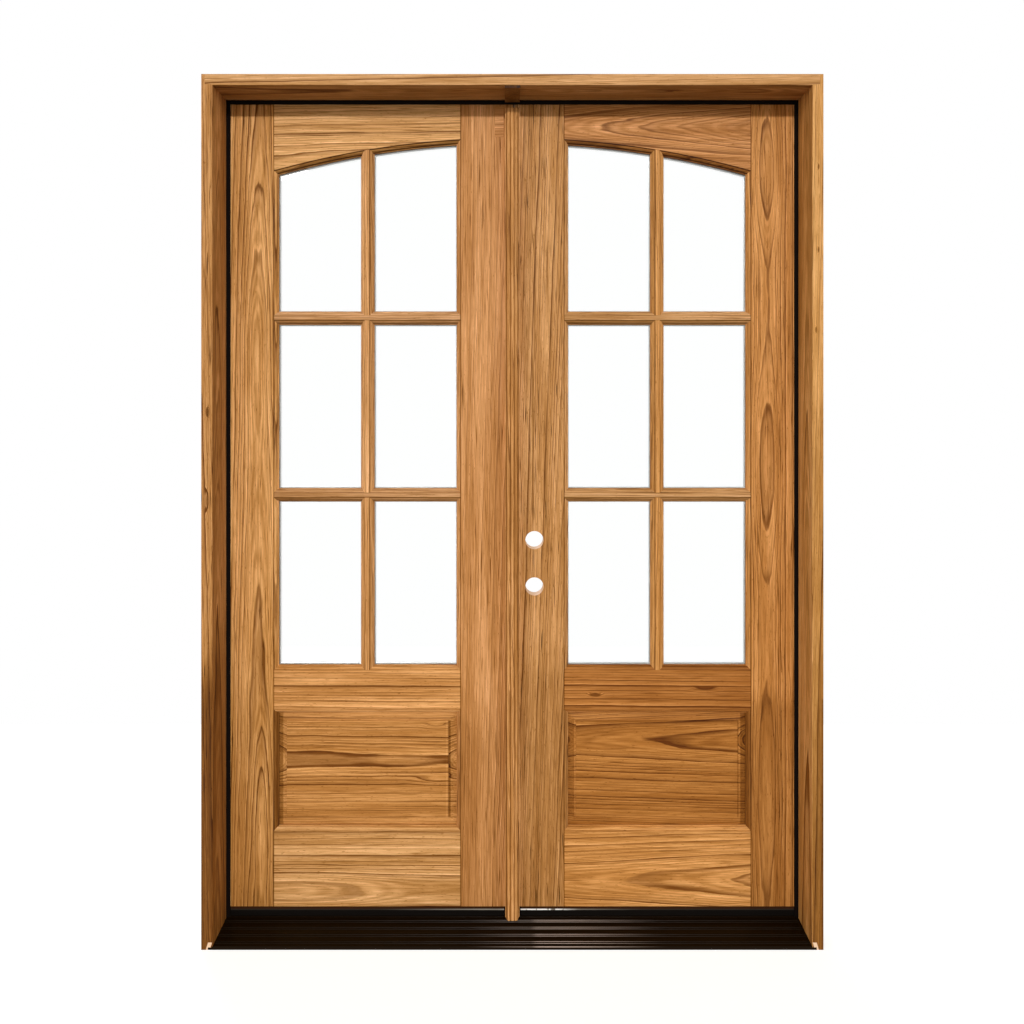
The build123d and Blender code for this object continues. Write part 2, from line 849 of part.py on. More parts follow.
def latch_bores():
    """A bore from the edge into each lock bore, with a shallow place for the latch's face plate."""
    cuts = []
    for height in lock_heights:
        place = Plane(origin=(-meeting_edge, leaf_middle, slab_bottom + height), z_dir=(1, 0, 0))
        cuts.append(extrude(place * Circle(latch_bore_radius), amount=lock_backset))
        y = (leaf_middle - face_plate_width / 2, leaf_middle + face_plate_width / 2)
        middle = slab_bottom + height
        z = (middle - face_plate_height / 2, middle + face_plate_height / 2)
        cuts.append(block((-meeting_edge, -meeting_edge + face_plate_depth), y, z))
    return cuts


def strike_recesses():
    """Places for the latch and bolt strikes in the stem, with a pocket behind each."""
    cuts = []
    y = (leaf_middle - face_plate_width / 2, leaf_middle + face_plate_width / 2)
    for height in lock_heights:
        middle = slab_bottom + height
        z = (middle - face_plate_height / 2, middle + face_plate_height / 2)
        cuts.append(block((stem_edge - strike_recess, stem_edge), y, z))
        pocket = Plane(origin=(stem_edge, leaf_middle, middle), z_dir=(-1, 0, 0))
        cuts.append(extrude(pocket * Circle(strike_pocket_radius), amount=strike_pocket_depth))
    return cuts


# Putting the leaves together


def group(pieces):
    """Several like pieces in one node."""
    return Compound(children=list(pieces))


def leaf_nodes(side):
    """Everything that both leaves have, for the left leaf or mirrored for the right one."""
    flip = (lambda shape: shape) if side == "left" else (lambda shape: mirror(shape, about=Plane.YZ))
    made = {"hinge_stile": hinge_stile, "raised_panel": raised_panel()}
    made.update(rails)
    made.update(bars)
    for row, half, x, z, arched in lite_openings():
        place = {"a": "outer", "b": "inner"}[half]
        made[f"{row}_{place}_pane"] = pane(x, z, arched)
    made["bottom_sweep"] = bottom_sweep()
    for name, shape in made.items():
        nodes[f"{side}_{name}"] = flip(shape)
    bead_set = []
    for _, _, x, z, arched in lite_openings():
        bead_set += beads(x if side == "left" else (-x[1], -x[0]), z, arched)
    nodes[f"{side}_glazing_beads"] = group(bead_set)
    nodes[f"{side}_tenons"] = group([flip(tenon) for tenon in leaf_tenons])
    nodes[f"{side}_hinge_leaves"] = group([flip(plate) for plate in left_door_plates])


for side in ("left", "right"):
    leaf_nodes(side)
recesses = strike_recesses()
nodes["left_meeting_stile"] = meeting_stile - bolt_cuts - recesses
nodes["right_meeting_stile"] = mirror(meeting_stile, about=Plane.YZ) - lock_bores() - latch_bores()
nodes["astragal"] = astragal() - bolt_cuts - recesses
nodes["astragal_seal"] = astragal_seal()
nodes["bolt_plates"] = group(plates)
nodes["upper_bolt"] = upper_bolt
nodes["lower_bolt"] = lower_bolt
nodes["left_jamb"] = left_jamb
nodes["right_jamb"] = mirror(left_jamb, about=Plane.YZ)
nodes["head_jamb"] = head
nodes["head_block"] = head_block
nodes["sill_base"] = sill_base
nodes["sill_tread"] = sill_tread
nodes["sill_cap"] = sill_cap
nodes["left_weatherstrip"] = left_strip
nodes["right_weatherstrip"] = mirror(left_strip, about=Plane.YZ)
nodes["head_weatherstrip"] = head_strip
nodes["jamb_hinge_leaves"] = group(left_jamb_plates + mirrored(left_jamb_plates))
nodes["bolt_strikes"] = group([head_strike - head_hole, sill_strike - sill_hole])

os.makedirs("parts", exist_ok=True)
for name, shape in nodes.items():
    export_step(shape, f"parts/{name}.step")
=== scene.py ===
import math

import bmesh
import bpy
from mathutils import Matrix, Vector


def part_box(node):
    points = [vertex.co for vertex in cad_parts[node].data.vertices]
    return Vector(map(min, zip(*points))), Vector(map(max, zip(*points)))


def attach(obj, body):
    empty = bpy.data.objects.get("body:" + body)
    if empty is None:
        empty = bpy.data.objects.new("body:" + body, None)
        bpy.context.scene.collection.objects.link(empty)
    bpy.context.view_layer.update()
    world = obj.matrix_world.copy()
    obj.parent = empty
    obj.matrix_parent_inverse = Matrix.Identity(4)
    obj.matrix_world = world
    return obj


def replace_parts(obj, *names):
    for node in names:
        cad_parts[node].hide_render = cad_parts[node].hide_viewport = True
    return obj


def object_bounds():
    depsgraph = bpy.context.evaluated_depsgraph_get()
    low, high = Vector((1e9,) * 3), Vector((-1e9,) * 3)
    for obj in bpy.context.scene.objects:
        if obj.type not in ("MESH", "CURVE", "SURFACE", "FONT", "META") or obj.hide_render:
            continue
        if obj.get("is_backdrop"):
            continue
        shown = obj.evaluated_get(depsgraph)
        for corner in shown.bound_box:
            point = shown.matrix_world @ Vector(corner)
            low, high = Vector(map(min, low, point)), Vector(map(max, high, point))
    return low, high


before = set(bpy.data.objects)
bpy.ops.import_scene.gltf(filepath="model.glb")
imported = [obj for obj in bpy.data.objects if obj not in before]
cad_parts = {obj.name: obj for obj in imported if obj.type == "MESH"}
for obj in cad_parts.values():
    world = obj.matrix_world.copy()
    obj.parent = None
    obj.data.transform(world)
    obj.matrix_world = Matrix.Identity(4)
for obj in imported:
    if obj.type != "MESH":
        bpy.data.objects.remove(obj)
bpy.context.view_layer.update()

scene = bpy.context.scene
scene.view_settings.view_transform = "Standard"

# The camera stands in front of the outside face, a little above the unit's middle and square to it.
# The lens is shifted instead of tilted, so the jambs stay upright.
lens = bpy.data.cameras.new("camera")
lens.sensor_width = 36
lens.lens = 28.73
lens.shift_y = -0.0986
camera = bpy.data.objects.new("camera", lens)
camera.location = (-0.001, -2.4264, 1.545)
camera.rotation_euler = (math.pi / 2, 0, 0)
scene.collection.objects.link(camera)
scene.camera = camera


# The daylight: a low frontal sun that gives the head's crisp shadow, soft fills from both sides and
# from behind, and an even pale sky. The front three stand at one height, so the head casts one
# shadow. The sky and the floor look white to the camera, in gloss and through glass.
class Value:
    """A socket among a material's nodes, so that sums on it are written as plain sums."""

    def __init__(self, nodes, socket):
        self.nodes = nodes
        self.socket = socket

    def __getitem__(self, output):
        return Value(self.nodes, self.socket.node.outputs[output])

    def __add__(self, other):
        return self.nodes.maths("ADD", self, other)

    def __sub__(self, other):
        return self.nodes.maths("SUBTRACT", self, other)

    def __rsub__(self, other):
        return self.nodes.maths("SUBTRACT", other, self)

    def __mul__(self, other):
        return self.nodes.maths("MULTIPLY", self, other)

    def __truediv__(self, other):
        return self.nodes.maths("DIVIDE", self, other)

    __radd__ = __add__
    __rmul__ = __mul__


class Nodes:
    """The nodes of one material or of the sky. Each call adds a node and links what it is given."""

    def __init__(self, tree):
        self.tree = tree

    def node(self, kind, settings=None, inputs=None, output=0):
        made = self.tree.nodes.new("ShaderNode" + kind)
        for name, value in (settings or {}).items():
            if name == "stops":
                self.place_stops(made.color_ramp.elements, value)
            else:
                setattr(made, name, value)
        for name, value in (inputs or {}).items():
            self.feed(made.inputs[name], value)
        return Value(self, made.outputs[output])

    def place_stops(self, stops, wanted):
        """Puts a ramp's own two stops at its ends, and the others between them."""
        stops[0].position, stops[1].position = wanted[0][0], wanted[-1][0]
        for place, _ in wanted[1:-1]:
            stops.new(place)
        for stop, (_, shade) in zip(stops, wanted):
            stop.color = (*shade, 1) if isinstance(shade, tuple) else (shade, shade, shade, 1)

    def feed(self, socket, value):
        if isinstance(value, Value):
            self.tree.links.new(value.socket, socket)
        else:
            socket.default_value = value

    def surface(self, inputs, shader="Principled BSDF"):
        for name, value in inputs.items():
            self.feed(self.tree.nodes[shader].inputs[name], value)

    def maths(self, operation, *values):
        return self.node("Math", {"operation": operation}, dict(enumerate(values)))

    def vector(self, operation, *values):
        return self.node("VectorMath", {"operation": operation}, dict(enumerate(values)))

    def scaled(self, vector, factor):
        return self.node("VectorMath", {"operation": "SCALE"}, {0: vector, "Scale": factor})

    def ramp(self, value, *stops):
        return self.node("ValToRGB", {"stops": stops}, {0: value})

    def smooth(self, value, start, end):
        settings = {"interpolation_type": "SMOOTHSTEP"}
        return self.node("MapRange", settings, {"Value": value, "From Min": start, "From Max": end})

    def mix(self, first, second, share):
        return self.node("Mix", {"data_type": "RGBA"}, {0: share, 6: first, 7: second}, 2)

    def noise(self, per_metre, detail=2):
        """Clouds with this many waves to a metre, or with a number for each axis."""
        place = self.node("TexCoord", output="Object")
        if isinstance(per_metre, tuple):
            place, per_metre = self.vector("MULTIPLY", place, per_metre), 1
        return self.node("TexNoise", {}, {"Vector": place, "Scale": per_metre, "Detail": detail})

    def seen(self):
        """1 where a ray comes from the camera, gloss or glass, and 0 where it lights a surface."""
        path = self.node("LightPath")
        shown = self.maths("MAXIMUM", path["Is Camera Ray"], path["Is Glossy Ray"])
        return self.maths("MAXIMUM", shown, path["Is Transmission Ray"])


def finish_of(name):
    """A new material and its nodes."""
    material = bpy.data.materials.new(name)
    material.use_nodes = True
    return material, Nodes(material.node_tree)


black = (0, 0, 0, 1)
white = (1, 1, 1, 1)
sky_light = 0.37
sky = bpy.data.worlds.new("sky")
sky.use_nodes = True
scene.world = sky
nodes = Nodes(sky.node_tree)
up = nodes.node("SeparateXYZ", {}, {0: nodes.node("TexCoord", output="Generated")})["Z"]
dome = sky_light * (0.45 + nodes.smooth(up, -0.2, 0.15) * 0.55)
nodes.surface({"Strength": dome + (1 - dome) * nodes.seen(),
               "Color": nodes.mix((1, 0.94, 0.76, 1), white, nodes.seen())}, "Background")


def sun(name, source, share, spread):
    """A sun towards this source that lights a front or a back face by this share."""
    source = Vector(source)
    light = bpy.data.lights.new(name, "SUN")
    light.energy = share * math.pi * source.length
    light.angle = math.radians(spread)
    lamp = bpy.data.objects.new(name, light)
    lamp.rotation_euler = source.to_track_quat("Z", "Y").to_euler()
    scene.collection.objects.link(lamp)


sun_height = 0.388
sun("key_light", (0.03, -1, sun_height), 0.5, 3)
sun("left_fill", (-1.5, -1, sun_height), 0.15, 40)
sun("right_fill", (1.5, -1, sun_height), 0.12, 40)
sun("back_fill", (-0.4, 1, 0.6), 0.36, 30)

floor_size = Vector((6, 4.4, 0))
floor_middle = Vector((0, -0.6, -0.0005))
floor_mesh = bmesh.new()
bmesh.ops.create_grid(floor_mesh, x_segments=8, y_segments=6, size=0.5)
for vertex in floor_mesh.verts:
    vertex.co = vertex.co * floor_size + floor_middle
floor_data = bpy.data.meshes.new("floor")
floor_mesh.to_mesh(floor_data)
floor_mesh.free()
floor = bpy.data.objects.new("floor", floor_data)
scene.collection.objects.link(floor)
floor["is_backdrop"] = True
pale_floor, nodes = finish_of("pale_floor")
nodes.surface({"Base Color": (0.5, 0.5, 0.495, 1), "Roughness": 0.9, "Specular IOR Level": 0.1,
               "Emission Color": nodes.mix(black, white, nodes.seen()),
               "Emission Strength": 0.72})
floor_data.materials.append(pale_floor)


# The left leaf's boards: honey-brown softwood, each sawn from its own log, so the growth rings run
# through it as solid shells. The stiles run full height, with the rails coped in between them and a
# small patch let in at the top of the meeting stile.
mm = 0.001


def paint(red, green, blue):
    """A colour given as 0 to 255 on a screen, as the light that it stands for."""
    def light(part):
        part = part / 255
        return part / 12.92 if part <= 0.04045 else ((part + 0.055) / 1.055) ** 2.4
    return (light(red), light(green), light(blue), 1)


def millimetres(nodes):
    """Where a point of the unit is, in mm."""
    return nodes.scaled(nodes.node("TexCoord", output="Object"), 1 / mm)


def wood_nodes(nodes, grain, heart, tone, seed, spacing=7.0, taper=0.02, wander=6.0, knots=(),
               lines=1.0, streaks=1.0, faint=0.28):
    """The colour of one board, and how dark its grain is at each point.

    All lengths are in mm. grain is the axis that the fibres follow. heart is where the middle of
    the tree lies, across the board and in depth. spacing is a ring's width, taper how fast the
    rings run out along the board, and wander how far they stray. knots are bulges in the rings:
    place across, place along, size across, size along and height. lines, streaks and faint say how
    dark the late wood, the pores and the fine lines between the rings are.
    """
    place = millimetres(nodes)
    axes = nodes.node("SeparateXYZ", {}, {0: place})
    across, along = (axes["X"], axes["Z"]) if grain == "z" else (axes["Z"], axes["X"])
    offset = (seed * 7.31, seed * 3.77, seed * 5.13)

    def cloud(size, length, detail=2):
        thin, long = 1 / size, 1 / length
        scale = (thin, thin, long) if grain == "z" else (long, thin, thin)
        spot = nodes.vector("MULTIPLY_ADD", place, scale, offset)
        return nodes.node("TexNoise", {}, {"Vector": spot, "Scale": 1, "Detail": detail})

    def tinted(*shares):
        return (*(part * share for part, share in zip(paint(*tone), shares)), 1)

    # The distance from the heart, drawn off course by slow, middling and quick clouds.
    side = across - heart[0]
    deep = axes["Y"] - heart[1]
    ring = nodes.maths("SQRT", side * side + deep * deep)
    drift = (cloud(110, 800) - 0.5) * (2 * wander)
    drift = drift + (cloud(30, 220) - 0.5) * 5 + (cloud(10, 90) - 0.5) * 1.6
    ring = ring + along * taper + drift
    core = 0
    for place_across, place_along, wide, tall, height in knots:
        aside = (across - place_across) / wide
        away = (along - place_along) / tall
        bulge = nodes.maths("MAXIMUM", 1 - (aside * aside + away * away), 0)
        ring = ring + bulge * bulge * height
        is_pin_knot = wide < 12
        if is_pin_knot:
            core = core + nodes.smooth(bulge, 0.55, 0.9)

    # Rings of unequal width and strength: each darkens slowly and ends sharply, with a pale start.
    phase = ring / spacing
    phase = phase + nodes.maths("SINE", phase * 1.3 + seed) * 0.45
    number = nodes.maths("FLOOR", phase)
    part = phase - number
    strength = nodes.node("TexWhiteNoise", {"noise_dimensions": "1D"}, {"W": number + seed})
    profile = nodes.ramp(part, (0, 0.05), (0.02, 0), (0.56, 0.05), (0.8, 0.38), (0.91, 1),
                         (0.97, 0.85), (1, 0.05))
    line = profile * (strength * 0.75 + 0.25) * (cloud(40, 260) * 2.2 - 0.2) * lines
    line = nodes.maths("MINIMUM", nodes.maths("MAXIMUM", line, 0), 1)
    pale_edge = nodes.ramp(part, (0, 0.4), (0.04, 1), (0.3, 0), (1, 0)) * strength
    fine = nodes.maths("SINE", ring * (19 / spacing) + seed) * cloud(25, 200)

    # Pale early wood and dark late wood, in warmer and cooler patches.
    colour = nodes.mix(tinted(1.18, 1.24, 1.38), tinted(0.36, 0.26, 0.12), line)
    warm = nodes.smooth(cloud(38, 600, 3), 0.35, 0.65)
    warmth = nodes.mix((1.09, 1.12, 1.17, 1), (0.82, 0.76, 0.62, 1), warm)
    colour = nodes.vector("MULTIPLY", colour, warmth)

    # The fibres, broad bands, long pores, short flecks and the pin knots' cores.
    fibre = cloud(1.3, 50, 3)
    band = cloud(6, 240, 3)
    streak = nodes.smooth(cloud(3.2, 130, 2), 0.6, 0.74) * streaks
    fleck = nodes.smooth(cloud(1.9, 15, 1), 0.66, 0.76)
    shade = (0.5 + fibre) * (0.64 + band * 0.72)
    shade = shade * (1 - fleck * 0.45) * (1 - streak * 0.5) * (1 - core * 0.6)
    shade = shade * (1 + pale_edge * 0.32 - fine * faint)
    return colour, shade, line, fibre, axes


def deepen(nodes, colour, shade):
    """The colour at this level of grain or painted shade: browner where darker, cooler where paler.
    """
    palest, headroom = 2, 4
    steps = (0, 0.15, 0.3, 0.5, 0.7, 0.85, 1, 1.2, 1.5, palest)
    stops = [(step / palest, tuple(step ** power / headroom for power in (1, 1.25, 1.9)))
             for step in steps]
    deep = nodes.vector("MULTIPLY", colour, nodes.ramp(shade * (1 / palest), *stops))
    return nodes.scaled(deep, headroom)


def stain(nodes, colour, shade, line, fibre):
    """A thin satin coat over the board: its colour, its gloss and the fine relief of its fibres."""
    relief = {"Height": fibre - line * 0.4, "Distance": 0.3 * mm, "Strength": 0.35}
    nodes.surface({"Base Color": deepen(nodes, colour, shade),
                   "Roughness": 0.5 + fibre * 0.12 - line * 0.08,
                   "Specular IOR Level": 0.1,
                   "Normal": nodes.node("Bump", {}, relief)})


def spot_on(nodes, axes, axis):
    """A place along an axis, or how far it is from the arch's middle or the nearer lock bore."""
    if axis == "arch":
        rise = axes["Z"] - arch_middle
        return nodes.maths("SQRT", axes["X"] * axes["X"] + rise * rise)
    if axis == "bore":
        aside = axes["X"] - bore_place
        above = nodes.maths("ABSOLUTE", axes["Z"] - bores_middle)
        above = nodes.maths("ABSOLUTE", above - bore_step)
        return nodes.maths("SQRT", aside * aside + above * above)
    if axis == "slant":
        return nodes.maths("ABSOLUTE", axes["X"]) + axes["Z"] * 0.3
    return axes[axis]


def within(nodes, axes, limits):
    """1 inside the given ranges, and 0 outside. A third number says how far the edge fades."""
    share = 1
    for axis, (low, high, *fade) in limits.items():
        spot = spot_on(nodes, axes, axis)
        half = fade[0] / 2 if fade else 0.5
        share = share * nodes.smooth(spot, low - half, low + half)
        share = share * nodes.smooth(spot, high + half, high - half)
    return share


def board(node, grain, heart, tone, seed, seams=(), painted_light_and_tone=(), patch=None, raw=None, **cut):
    """Stained wood on one board of the unit.

    seams are the places and depths of fine dark lines, where the board meets its neighbours or
    where painted shade stands in a groove. Then come ranges, each with the level that the shade is
    multiplied by there: most are painted shade below 1 or painted highlights above it, others set a
    face's own level or darker streaks of the grain. patch is a part whose grain runs the other way,
    and raw is one that the stain has not reached.
    """
    material, nodes = finish_of(node)
    colour, shade, line, fibre, axes = wood_nodes(nodes, grain, heart, tone, seed, **cut)
    for axis, at, depth in seams:
        away = nodes.maths("ABSOLUTE", spot_on(nodes, axes, axis) - at)
        shade = shade * (1 - depth + nodes.smooth(away, 0.3, 2.4) * depth)
    for limits, level in painted_light_and_tone:
        shade = shade * (1 - within(nodes, axes, limits) * (1 - level))
    if patch:
        reach, patch_heart, patch_tone, patch_seed = patch
        crossed = "x" if grain == "z" else "z"
        inlay, inlay_shade, *_ = wood_nodes(nodes, crossed, patch_heart, patch_tone, patch_seed)
        inside = within(nodes, axes, reach) if isinstance(reach, dict) else reach(nodes, axes)
        colour = nodes.mix(deepen(nodes, colour, shade), deepen(nodes, inlay, inlay_shade), inside)
        shade = 1 - inside * (1 - inside) * 2
    if raw:
        bare = within(nodes, axes, raw)
        colour = nodes.mix(deepen(nodes, colour, shade), paint(234, 200, 168), bare)
        shade = 0.9 + fibre * 0.2
    stain(nodes, colour, shade, line, fibre)
    dress(node, material)


def dress(node, material):
    """Puts a material on one part of the unit. Edges that turn by under 24 degrees look smooth."""
    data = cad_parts[node].data
    data.materials.clear()
    data.materials.append(material)
    data.shade_smooth()
    data.set_sharp_from_angle(angle=math.radians(24))


hinge_joint = 719.85
meeting_joint = 156.25
arch_middle = -306.2
arch_radius = 2675
sticking = 12.5
bar_half = 7.5
bar_reach = bar_half + sticking
bar_place = 438.05
panel_sticking = 14
bottom_rail_top = 277.8
middle_rail_foot, middle_rail_top = 643.8, 763.8
lower_crossbar, upper_crossbar = 1291.3, 1826.3
panel_height = (bottom_rail_top, middle_rail_foot)
field_height = (314.8, 606.8)
outer_half = (30, 60)


def up_to(height, fade):
    """From below the foot up to this height, with an edge that fades over this length."""
    return (-500, height, fade)


def painted_field_edge(low, high, level):
    """Painted shade or a painted highlight down one edge of the raised field or the bevel beside
    it.
    """
    return ({"X": (low, high, 3), "Y": outer_half, "Z": (*field_height, 6)}, level)


def bar(node, grain, heart, tone, seed, middle, shaded, level, joints=()):
    """A moulded bar: painted shade in a fine groove each side of its flat, and on its shaded
    moulding.
    """
    axis = "X" if grain == "z" else "Z"
    grooves = ((axis, middle - shaded * bar_half, 0.3), (axis, middle + shaded * bar_half, 0.65))
    moulding = sorted(middle + shaded * reach for reach in (bar_half + 1, bar_reach + 1))
    board(node, grain, heart, tone, seed, joints + grooves, (({axis: moulding}, level),))


left_joints = (("X", -hinge_joint, 0.6), ("X", -meeting_joint, 0.6))
right_joints = (("X", hinge_joint, 0.6), ("X", meeting_joint, 0.6))
bottom_rail_joint = (("Z", bottom_rail_top, 0.3),)
middle_rail_joints = (("Z", middle_rail_foot, 0.4), ("Z", middle_rail_top, 0.25))
# Painted shade in two grooves of the arch moulding and over the moulding itself, which faces down.
arch_groove = (("arch", arch_radius - 0.5, 0.85), ("arch", arch_radius - 9.5, 0.6))
painted_arch_shade = ({"arch": (2600, arch_radius - 0.5)}, 0.56)

# Painted shade darkens both stiles towards their feet, and the hinge stile's sticking beside the
# panel.
board("left_hinge_stile", "z", (-764, 108), (197, 140, 79), 1, left_joints,
      spacing=8, taper=0.0164, wander=5, lines=1.6, streaks=1.8,
      knots=((-776, 1751, 55, 412, -7), (-748, 340, 40, 420, -8)),
      painted_light_and_tone=(({"X": (-hinge_joint, -hinge_joint + panel_sticking), "Z": panel_height}, 0.42),
              ({"Z": up_to(680, 160)}, 0.8)))
small_patch = {"X": (-53, -26), "Y": outer_half, "Z": (2372, 2464)}
board("left_meeting_stile", "z", (40, 120), (187, 129, 75), 2, left_joints,
      spacing=9, lines=0.7, streaks=1.4, painted_light_and_tone=(({"Z": up_to(620, 240)}, 0.78),),
      patch=(small_patch, (2440, 120), (186, 128, 74), 14))
board("left_top_rail", "x", (2290, 150), (196, 143, 85), 3, left_joints + arch_groove,
      (painted_arch_shade,), spacing=10, taper=-0.016, lines=1.4)
board("left_middle_rail", "x", (570, 100), (190, 132, 73), 4, left_joints + middle_rail_joints,
      spacing=11, taper=0.01, lines=1.3)
board("left_bottom_rail", "x", (95, 130), (188, 136, 80), 5, left_joints + bottom_rail_joint,
      spacing=11, taper=0.006, wander=8, lines=1.4, knots=((95, -640, 70, 360, -12),))
# Painted shade beside the left sticking and just outside the field's right edge, and painted
# highlights along the field's right edge and along its top.
board("left_raised_panel", "x", (488, 120), (178, 121, 62), 6,
      spacing=8.5, taper=0.006, wander=7, lines=1.6,
      knots=((424, -215, 24, 120, -9), (590, -230, 16, 60, 8)),
      painted_light_and_tone=(painted_field_edge(-194, -187, 0.5), painted_field_edge(-201, -196, 1.14),
              ({"X": (-692, -195), "Y": outer_half, "Z": (602, 606.5, 3)}, 1.2),
              ({"X": (-709, -695, 4), "Y": outer_half, "Z": panel_height}, 0.6)))

crossbar_tone = (181, 131, 83)
bar("left_upper_crossbar", "x", (1740, 90), crossbar_tone, 7, upper_crossbar, -1, 0.7, left_joints)
bar("left_lower_crossbar", "x", (1210, 95), crossbar_tone, 8, lower_crossbar, -1, 0.7, left_joints)
upright_tone = (201, 145, 90)
bar("left_upper_glazing_bar", "z", (-530, 90), upright_tone, 9, -bar_place, 1, 0.82)
bar("left_centre_glazing_bar", "z", (-340, 90), upright_tone, 10, -bar_place, 1, 0.82)
bar("left_lower_glazing_bar", "z", (-520, 80), upright_tone, 11, -bar_place, 1, 0.82)


# The right leaf's boards: the same timber and joinery from other logs, a shade darker, with
# stronger figure on the hinge stile, the middle rail and the panel. The two lock bores through the
# meeting stile are unstained.
bore_place = 66.575
bores_middle = 1085.85
bore_step = 69.85
bore_radius = 27.3
# Painted shade darkens both stiles towards their feet, and the hinge stile's sticking beside the
# panel; the narrow ranges on the meeting stile are darker streaks of its grain.
board("right_hinge_stile", "z", (768, 105), (189, 128, 67), 21, right_joints,
      spacing=9, taper=0.0, wander=2.5, lines=1.6, streaks=1.5, faint=0.14,
      knots=((768, 2270, 75, 330, -15), (766, 1391, 75, 420, -15), (770, 380, 80, 420, -7)),
      painted_light_and_tone=(({"X": (hinge_joint - panel_sticking, hinge_joint), "Z": panel_height}, 0.62),
              ({"Z": up_to(680, 90)}, 0.68)))
board("right_meeting_stile", "z", (215, 130), (184, 130, 75), 22, right_joints,
      spacing=8, taper=0.03, lines=1.5, streaks=2.4, raw={"bore": (0, bore_radius)},
      painted_light_and_tone=(({"Z": up_to(800, 200)}, 0.76),
              ({"X": (60, 65, 4), "Z": (1215, 1700, 60)}, 0.55),
              ({"X": (66, 70, 3), "Z": (1700, 2090, 80)}, 0.6),
              ({"X": (104, 107, 3), "Z": (1900, 2050, 60)}, 0.6)))
board("right_top_rail", "x", (2400, 120), (175, 117, 64), 23, right_joints + arch_groove,
      (painted_arch_shade,), spacing=9, taper=-0.05, lines=1.2)
board("right_middle_rail", "x", (600, 90), (163, 103, 46), 24, right_joints + middle_rail_joints,
      spacing=10, taper=0.004, lines=1.8, knots=((689, 250, 11, 34, 8), (704, 583, 13, 60, 8)))
board("right_bottom_rail", "x", (127, 120), (186, 127, 66), 25, right_joints + bottom_rail_joint,
      spacing=11, taper=-0.03, lines=1.3)
# Painted shade on the bevel left of the field, at its right edge, along its top and beside the
# right sticking, and painted highlights along the field's left edge and on the bevel right of it.
board("right_raised_panel", "x", (545, 115), (160, 102, 44), 26,
      spacing=10, taper=-0.03, lines=1.9,
      painted_light_and_tone=(painted_field_edge(169, 187, 0.78), painted_field_edge(188, 192, 1.2), painted_field_edge(681, 685, 0.7),
              painted_field_edge(686, 693, 1.14),
              ({"X": (190, 683), "Y": outer_half, "Z": (603, 607, 3)}, 0.72),
              ({"X": (691, 709, 4), "Y": outer_half, "Z": panel_height}, 0.6)))

crossbar_tone = (180, 131, 80)
bar("right_upper_crossbar", "x", (1740, 90), crossbar_tone, 27, upper_crossbar, -1, 0.7,
    right_joints)
bar("right_lower_crossbar", "x", (1210, 95), crossbar_tone, 28, lower_crossbar, -1, 0.7,
    right_joints)
upright_tone = (192, 134, 73)
bar("right_upper_glazing_bar", "z", (350, 90), upright_tone, 29, bar_place, -1, 0.85)
bar("right_centre_glazing_bar", "z", (530, 90), upright_tone, 30, bar_place, -1, 0.85)
bar("right_lower_glazing_bar", "z", (520, 80), upright_tone, 31, bar_place, -1, 0.85)


# The glazing beads on the inside, mitred sticks that hold the panes, and the loose tenons in the
# rail and stile joints. Both are cut from the same timber as the leaf that they are in.
def mitred(nodes, axes):
    """1 on the level beads and 0 on the upright ones, with the change on the mitre."""
    def nearest(axis, *edges):
        spot = spot_on(nodes, axes, axis)
        if axis == "X":
            spot = nodes.maths("ABSOLUTE", spot)
        gaps = [nodes.maths("ABSOLUTE", spot - edge) for edge in edges]
        while len(gaps) > 1:
            gaps.append(nodes.maths("MINIMUM", gaps.pop(), gaps.pop()))
        return gaps[0]

    aside = nearest("X", hinge_joint - sticking, bar_place + bar_reach, bar_place - bar_reach,
                    meeting_joint + sticking)
    levels = [place + step for place in (lower_crossbar, upper_crossbar)
              for step in (-bar_reach, bar_reach)]
    above = nodes.maths("MINIMUM", nearest("Z", middle_rail_top + sticking, *levels),
                        nearest("arch", arch_radius - sticking))
    return nodes.smooth(aside - above, -0.3, 0.3)


bead_tone = (190, 135, 78)
board("left_glazing_beads", "z", (-438, 160), bead_tone, 12,
      patch=(mitred, (1500, 160), bead_tone, 15))
bead_tone = (180, 124, 68)
board("right_glazing_beads", "z", (438, 160), bead_tone, 32,
      patch=(mitred, (1500, 160), bead_tone, 35))
board("left_tenons", "x", (1200, 100), (200, 150, 95), 13)
board("right_tenons", "x", (1200, 100), (200, 150, 95), 33)


# The T-astragal: one moulded strip screwed to the passive leaf, with three reeds on its face, which
# closes the gap between the leaves. Painted shade darkens the grooves and edges of the reeds, and
# the right reed is set a little darker.
reed_lines = (("X", -17.1, 0.6), ("X", -5.7, 0.5), ("X", 5.7, 0.55), ("X", 17.1, 0.75))
board("astragal", "z", (-30, 60), (188, 131, 74), 41, reed_lines, (({"X": (8, 17)}, 0.85),),
      spacing=5, taper=0.01, lines=1.1, streaks=1.3)


# The frame: side jambs and head of the same timber, each one board with a stop and a rabbet, the
# head housed into the jambs, and a shallow block under it in line with the astragal. Painted shade
# darkens the jambs towards their feet, the right reveal towards the head and the head's underside,
# and the front faces are set lighter than the reveals. A chip at each jamb's foot shows raw wood.
front_face = (-84, -82.8)
behind_face = (-82.8, 100)
chip = {"slant": (867.5, 879), "Y": (-85, -80), "Z": (-1, 21)}
# Painted shade darkens each jamb towards its foot, most on the left jamb's front face.
board("left_jamb", "z", (-940, -40), (165, 112, 58), 51, raw=chip,
      spacing=8, lines=1.5, streaks=2,
      knots=((-875, 1542, 9, 26, 12), (-872, 1290, 14, 60, -8)),
      painted_light_and_tone=(({"Y": front_face}, 1.17), ({"Z": up_to(860, 260)}, 0.74),
              ({"Y": front_face, "Z": up_to(780, 160)}, 0.46)))
